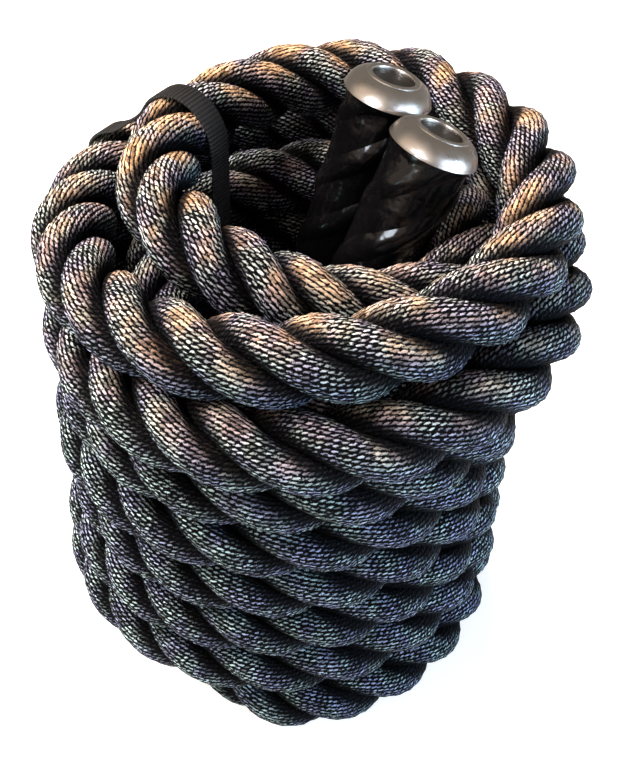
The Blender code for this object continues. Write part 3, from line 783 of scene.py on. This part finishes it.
# %% Caps
SKIRT_BORE, SKIRT_REACH, LIP_REACH = 20.8, 21.6, 22.0
RING_RADIUS, RING_WIDTH, DOME_TOP = 12.2, 3.0, 9.2
RECESS_RADIUS, LEDGE, WELL_RADIUS = 10.7, 6.8, 8.8
CAP_STEPS = 96


def bow(start, end, depth, steps):
    """Points of a shallow arc from start to end, the start left out."""
    along = Vector(end) - Vector(start)
    normal = Vector((along.y, -along.x)).normalized()
    points = []
    for step in range(1, steps + 1):
        share = step / steps
        points.append(tuple(Vector(start) + along * share + normal * depth * 4 * share * (1 - share)))
    return points


def cap_outline():
    ring_foot = RING_RADIUS + RING_WIDTH / 2
    outline = [(SKIRT_BORE, 0.0), (21.5, 0.0), (21.85, 0.12), (LIP_REACH, 0.45)]
    outline += [(21.9, 0.8), (21.65, 1.05), (SKIRT_REACH, 1.4)]
    outline += bow((SKIRT_REACH, 1.4), (ring_foot + 0.25, DOME_TOP - 0.1), 1.5, 12)
    for step in range(0, 9):
        angle = math.pi * step / 8
        round_ring = RING_WIDTH / 2 * math.cos(angle), 0.8 * math.sin(angle)
        outline.append((RING_RADIUS + round_ring[0], DOME_TOP + round_ring[1]))
    outline += [(RECESS_RADIUS - 0.05, DOME_TOP - 0.4), (RECESS_RADIUS - 0.05, LEDGE + 0.1)]
    outline += [(WELL_RADIUS, LEDGE), (WELL_RADIUS, LEDGE - 1.2), (WELL_RADIUS + 1.2, LEDGE - 1.6)]
    outline += bow((11.2, 7.4), (SKIRT_BORE, 1.4), -1.2, 6)
    return [(radius * MM, height * MM) for radius, height in outline]


caps = {}
for letter in "ab":
    cap = spun(f"pressed_cap_{letter}", cap_outline(), CAP_STEPS)
    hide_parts(f"end_cap_{letter}")
    set_in_place(cap, letter)
    caps[letter] = cap
print("cap faces:", len(caps["a"].data.polygons))

# %% [markdown]
# Satin stainless steel keeps soft, wide highlights. Fine turning marks run round it, and handling has
# left cloudy patches where it is a little rougher. The rings are drawn from the distance to the grip's
# axis, so each cap has its own copy of the finish with a Mapping node that centres it.

# %% Metal finishes
def turned_metal(name, letter, colour_name, rough, ring_width):
    material, tree, shader = new_material(name)
    place = add_node(tree, "ShaderNodeTexCoord").outputs["Object"]
    inverse = grip_frame(letter).inverted()
    links = [("Vector", place), ("Location", inverse.to_translation()), ("Rotation", inverse.to_euler())]
    centred = add_node(tree, "ShaderNodeMapping", links, vector_type="POINT")
    parts = add_node(tree, "ShaderNodeSeparateXYZ", [(0, centred.outputs[0])])
    flat = joined(tree, parts.outputs["X"], parts.outputs["Y"])
    distance = add_node(tree, "ShaderNodeVectorMath", [(0, flat)], operation="LENGTH").outputs["Value"]
    rings = calc(tree, "SINE", calc(tree, "MULTIPLY", distance, 2 * math.pi / ring_width))
    clouds = noise(tree, place, 130.0, 3.0, 0.6)
    rough_map = mapped(tree, clouds, 0.35, 0.7, rough - 0.05, rough + 0.10)
    tree.links.new(rough_map, shader.inputs["Roughness"])
    emboss(tree, shader, rings, 0.012 * MM)
    shader.inputs["Base Color"].default_value = linear(colour_name)
    shader.inputs["Metallic"].default_value = 1.0
    return material


for letter in "ab":
    dress(caps[letter], turned_metal(f"satin_stainless_{letter}", letter, "#c6bfb7", 0.32, 0.35 * MM))
    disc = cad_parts[f"cap_disc_{letter}"]
    dress(disc, turned_metal(f"brushed_disc_{letter}", letter, "#5d5955", 0.42, 0.5 * MM))

zinc, tree, shader = new_material("zinc_plated_steel")
place = add_node(tree, "ShaderNodeTexCoord").outputs["Object"]
spangle = noise(tree, place, 700.0, 2.0)
tree.links.new(mapped(tree, spangle, 0.0, 1.0, 0.25, 0.5), shader.inputs["Roughness"])
shader.inputs["Base Color"].default_value = linear("#b9bcbd")
shader.inputs["Metallic"].default_value = 1.0

# %% [markdown]
# The screw under each disc and the twine round each rope's end are out of sight. They keep the solid
# model's shapes, and get the finish of what they are.

# %% Twine finish
twine, tree, shader = new_material("waxed_black_twine")
place = add_node(tree, "ShaderNodeTexCoord").outputs["Object"]
emboss(tree, shader, noise(tree, place, 1500.0, 2.0), 0.2 * MM)
shader.inputs["Base Color"].default_value = linear("#242321")
shader.inputs["Roughness"].default_value = 0.55
for letter in "ab":
    dress(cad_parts[f"cap_screw_{letter}"], zinc)
    dress(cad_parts[f"end_whipping_{letter}"], twine)


# %% [markdown]
# ## Tie strap
# A narrow woven strap goes round the wall of turns at the back left and keeps the coil from opening. It
# is drawn tight round most of the wall, so its line starts as the outline of everything inside it. That
# outline is worked out in the strap's own plane from the skin of the rope, and evened.

# %% Strap's line
STRAP_ANGLE = math.radians(142)
STRAP_WIDTH, STRAP_THICK, STRAP_OVERLAP = 13 * MM, 1.6 * MM, 60 * MM
STRAP_ASIDE, STRAP_STEP, SKIN_STEPS = 1.5 * MM, 3 * MM, 48
strap_out, strap_across = way(STRAP_ANGLE), way(STRAP_ANGLE + math.pi / 2)


def strap_skin():
    """The rope's skin under the strap, as distances out from the foot's axis and heights."""
    held = slice(coil_from, len(rope_line) - int(GRIP_LENGTH / STEP) - 1)
    skin = []
    angles = np.linspace(0, 2 * math.pi, SKIN_STEPS, endpoint=False)
    for middle, across, over in zip(rope_line[held], rope_across[held], rope_over[held]):
        flat = Vector(middle[:2]) - FOOT_AXIS.xy
        if flat @ strap_out < ROPE_REACH or abs(flat @ strap_across) > STRAP_WIDTH / 2 + CROWN_REACH:
            continue
        for angle in angles:
            spot = Vector(middle + (across * math.cos(angle) + over * math.sin(angle)) * CROWN_REACH)
            flat = spot.xy - FOOT_AXIS.xy
            if abs(flat @ strap_across - STRAP_ASIDE) <= STRAP_WIDTH / 2:
                skin.append(Vector((flat @ strap_out, spot.z)))
    return skin


def evened_loop(corners, step):
    places = np.array([*corners, corners[0]])
    along = np.concatenate([[0], np.cumsum(np.linalg.norm(np.diff(places, axis=0), axis=1))])
    at = np.linspace(0, along[-1], round(along[-1] / step), endpoint=False)
    loop = np.stack([np.interp(at, along, places[:, axis]) for axis in range(2)], axis=1)
    for _ in range(4):
        loop = (np.roll(loop, 1, axis=0) + 2 * loop + np.roll(loop, -1, axis=0)) / 4
    return loop


skin = strap_skin()
strap_line = evened_loop([skin[number] for number in convex_hull_2d(skin)], STRAP_STEP)
following = np.roll(strap_line, -1, axis=0)
if np.sum(strap_line[:, 0] * following[:, 1] - strap_line[:, 1] * following[:, 0]) < 0:
    strap_line = strap_line[::-1]
print("strap round the coil, in m:", round(len(strap_line) * STRAP_STEP, 3))

# %% [markdown]
# Between the crown of the top turn and the crown of the crossing rope the strap isn't drawn tight: it
# sinks until it nearly lies on the rope.

# %% Strap's sag
MOST_SAG, SAG_DEPTH, SAG_CLEAR = 3.8 * MM, 62 * MM, 0.5 * MM


def outward_ways(loop):
    """Unit ways that point out of a loop which runs anticlockwise."""
    ways_on = np.roll(loop, -1, axis=0) - np.roll(loop, 1, axis=0)
    ways_on /= np.linalg.norm(ways_on, axis=1)[:, None]
    return np.stack([ways_on[:, 1], -ways_on[:, 0]], axis=1)


all_skin = np.array(skin)
gaps = np.array([np.linalg.norm(all_skin - spot, axis=1).min() for spot in strap_line])
highest = strap_line[strap_line[:, 1].argmax()]
free = (strap_line[:, 1] > highest[1] - SAG_DEPTH) & (strap_line[:, 0] > highest[0])
sag = np.where(free, np.clip(gaps - SAG_CLEAR, 0, MOST_SAG), 0)
for _ in range(3):
    sag = (np.roll(sag, 1) + 2 * sag + np.roll(sag, -1)) / 4
strap_line = strap_line - outward_ways(strap_line) * sag[:, None]
print("most sag, in mm:", round(sag.max() / MM, 1))

# %% [markdown]
# The strap's section is a flat bar with its long edges taken off. It is set at each step of the line and
# joined to the next. Where the end laps over the start, low on the outer side, it is twice as thick.

# %% Strap
STRAP_CLEAR, LAP_REACH, STRAP_EDGE = 0.2 * MM, 12 * MM, 0.5 * MM
outward = outward_ways(strap_line)
outer_side = strap_line[:, 0].max()
middle_height = (strap_line[:, 1].max() + strap_line[:, 1].min()) / 2
on_outer_side = strap_line[:, 0] > outer_side - LAP_REACH
lapped = on_outer_side & (abs(strap_line[:, 1] - middle_height) < STRAP_OVERLAP / 2)
thickness = STRAP_THICK * np.where(lapped, 2.0, 1.0)


def strap_section(thick):
    """Corners of the strap's section, as distances out from the line and aside from its middle."""
    edge, half = STRAP_EDGE, STRAP_WIDTH / 2
    inner_side = [(0, edge - half), (edge, -half), (thick - edge, -half), (thick, edge - half)]
    return inner_side + [(thick, half - edge), (thick - edge, half), (edge, half), (0, half - edge)]


corners, faces = [], []
count, sides = len(strap_line), len(strap_section(STRAP_THICK))
for number in range(count):
    for high, aside in strap_section(thickness[number]):
        flat = strap_line[number] + outward[number] * (high + STRAP_CLEAR)
        foot = FOOT_AXIS.xy + strap_out * flat[0] + strap_across * (aside + STRAP_ASIDE)
        corners.append((foot.x, foot.y, flat[1]))
    here, after = number * sides, (number + 1) % count * sides
    for side in range(sides):
        beside = (side + 1) % sides
        faces.append((here + side, here + beside, after + beside, after + side))
mesh = bpy.data.meshes.new("woven_strap")
mesh.from_pydata(corners, [], faces)

# %% Strap's map and place
webbing_map = mesh.uv_layers.new(name="webbing_map")
asides = [aside for high, aside in strap_section(STRAP_THICK)]
for polygon in mesh.polygons:
    ring, side = divmod(polygon.index, sides)
    low, high = asides[side], asides[(side + 1) % sides]
    values = [(low, ring), (high, ring), (high, ring + 1), (low, ring + 1)]
    for loop, (aside, length) in zip(polygon.loop_indices, values):
        webbing_map.data[loop].uv = (aside, length * STRAP_STEP)
strap = bpy.data.objects.new("woven_strap", mesh)
bpy.context.scene.collection.objects.link(strap)
edit(strap)
bpy.ops.mesh.select_all(action="SELECT")
bpy.ops.mesh.normals_make_consistent(inside=False)
bpy.ops.object.mode_set(mode="OBJECT")
bpy.ops.object.shade_smooth_by_angle(angle=math.radians(50))
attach(strap, "coil")
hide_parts("tie_strap")
print("strap faces:", len(mesh.polygons))

# %% [markdown]
# Webbing shows ribs across its width, about 2 mm apart, that end as small beads on its edges. Between
# them run fine lines of warp. The map gives the place across and along the strap in metres.

# %% Strap finish
RIB_WIDTH, WARP_WIDTH = 2 * MM, 1.3 * MM
webbing, tree, shader = new_material("woven_black_webbing")
across_it, along_it = map_parts(tree, "webbing_map")
rib = calc(tree, "SINE", calc(tree, "MULTIPLY", along_it, 2 * math.pi / RIB_WIDTH))
warp = calc(tree, "SINE", calc(tree, "MULTIPLY", across_it, 2 * math.pi / WARP_WIDTH))
cloth = calc(tree, "MULTIPLY_ADD", warp, 0.45, rib)
cloth_colour = mixed(tree, mapped(tree, cloth, -1.2, 1.4), linear("#070708"), linear("#1f1d1c"))
tree.links.new(cloth_colour, shader.inputs["Base Color"])
emboss(tree, shader, cloth, 0.3 * MM)
shader.inputs["Roughness"].default_value = 0.7
dress(strap, webbing)

# %% [markdown]

# %% [markdown]
# ## Floor and light
# The photograph has a plain white ground. The floor is a pale sheet that adds brightness of its own for
# the camera, and a little for what mirrors it, so it looks white, keeps the shadow, and puts no extra
# light on the rope.

# %% Floor
GROUND_GLOW, MIRRORED_GLOW = 0.72, 0.4
bpy.ops.mesh.primitive_plane_add(size=8, location=(0, 0, -0.2 * MM))
floor = bpy.context.object
floor.name = "floor"
ground, tree, shader = new_material("matt_white_ground")
shader.inputs["Base Color"].default_value = linear("#d2d2d2")
shader.inputs["Roughness"].default_value = 0.9
rays = add_node(tree, "ShaderNodeLightPath")
seen = calc(tree, "MULTIPLY_ADD", rays.outputs["Is Glossy Ray"], MIRRORED_GLOW, rays.outputs["Is Camera Ray"])
shader.inputs["Emission Color"].default_value = (1, 1, 1, 1)
tree.links.new(calc(tree, "MULTIPLY", seen, GROUND_GLOW), shader.inputs["Emission Strength"])
dress(floor, ground)

# %% [markdown]
# A large warm lamp stands high on the left, with a still larger dim card in front of it that the metal
# mirrors. Cold ones low at both sides light the lower turns, one behind draws the far rim, and a weak
# spot shines straight down in front. Two more are there only for the glints on sleeves and caps. All but
# the spot are discs, turned to the middle of the coil. The last two values of each say whether mirroring
# surfaces show it, and whether it lights matt ones.

# %% Lamps
LAMPS = (
    ("key_lamp", (-0.55, 0.18, 1.12), 1.0, 62, "#fff0e4", False, True),
    ("warm_card", (-0.80, -0.55, 0.90), 2.4, 11, "#ffe2c8", True, True),
    ("back_lamp", (0.05, 1.00, 0.80), 0.4, 11, "#fff2ec", False, True),
    ("glint_lamp", (-0.66, -0.84, 0.84), 0.42, 13, "#e4ecfa", True, False),
    ("right_glint", (0.70, -0.90, 0.60), 0.25, 3.5, "#d0e0ff", True, False),
    ("side_lamp", (0.85, -0.50, 0.26), 0.4, 16, "#b4d0e6", True, True),
    ("low_lamp", (-0.80, -0.45, 0.16), 0.4, 4.5, "#b0dcd8", True, True),
)
SPOT_PLACE, SPOT_SPREAD, SPOT_WATTS = (0.10, -0.75, 1.00), 52, 26


def add_lamp(kind, name, place, watts, colour):
    bpy.ops.object.light_add(type=kind, location=place)
    lamp = bpy.context.object
    lamp.name = name
    lamp.data.energy = watts
    lamp.data.color = linear(colour)[:3]
    return lamp


middle = (cad_low + cad_high) / 2
for name, place, width, watts, colour, in_mirrors, on_matt in LAMPS:
    lamp = add_lamp("AREA", name, place, watts, colour)
    lamp.data.shape = "DISK"
    lamp.data.size = width
    lamp.rotation_euler = (Vector(middle) - Vector(place)).to_track_quat("-Z", "Y").to_euler()
    lamp.visible_glossy = in_mirrors
    lamp.visible_diffuse = on_matt
spot = add_lamp("SPOT", "floor_lamp", SPOT_PLACE, SPOT_WATTS, "#a8c8ff")
spot.data.spot_size = math.radians(SPOT_SPREAD)
spot.data.spot_blend = 0.5
print("lamps:", len(LAMPS) + 1)

# %% [markdown]
# The room itself is dim, so that the grooves stay dark. Metal mirrors it a little brighter, and the
# camera sees it plain white.

# %% World
ROOM_DIM, ROOM_MIRRORED = 0.05, 0.25
world = bpy.data.worlds.new("soft_room")
bpy.context.scene.world = world
world.use_nodes = True
tree = world.node_tree
back = tree.nodes["Background"]
rays = add_node(tree, "ShaderNodeLightPath")
camera_ray = rays.outputs["Is Camera Ray"]
mirrored = calc(tree, "MULTIPLY_ADD", rays.outputs["Is Glossy Ray"], ROOM_MIRRORED, camera_ray)
tree.links.new(mapped(tree, mirrored, 0.0, 1.0, ROOM_DIM, 1.0), back.inputs["Strength"])
tree.links.new(mixed(tree, camera_ray, linear("#f4e8dc"), (1, 1, 1, 1)), back.inputs["Color"])
bpy.context.scene.view_settings.view_transform = "Standard"
print("room:", world.name)
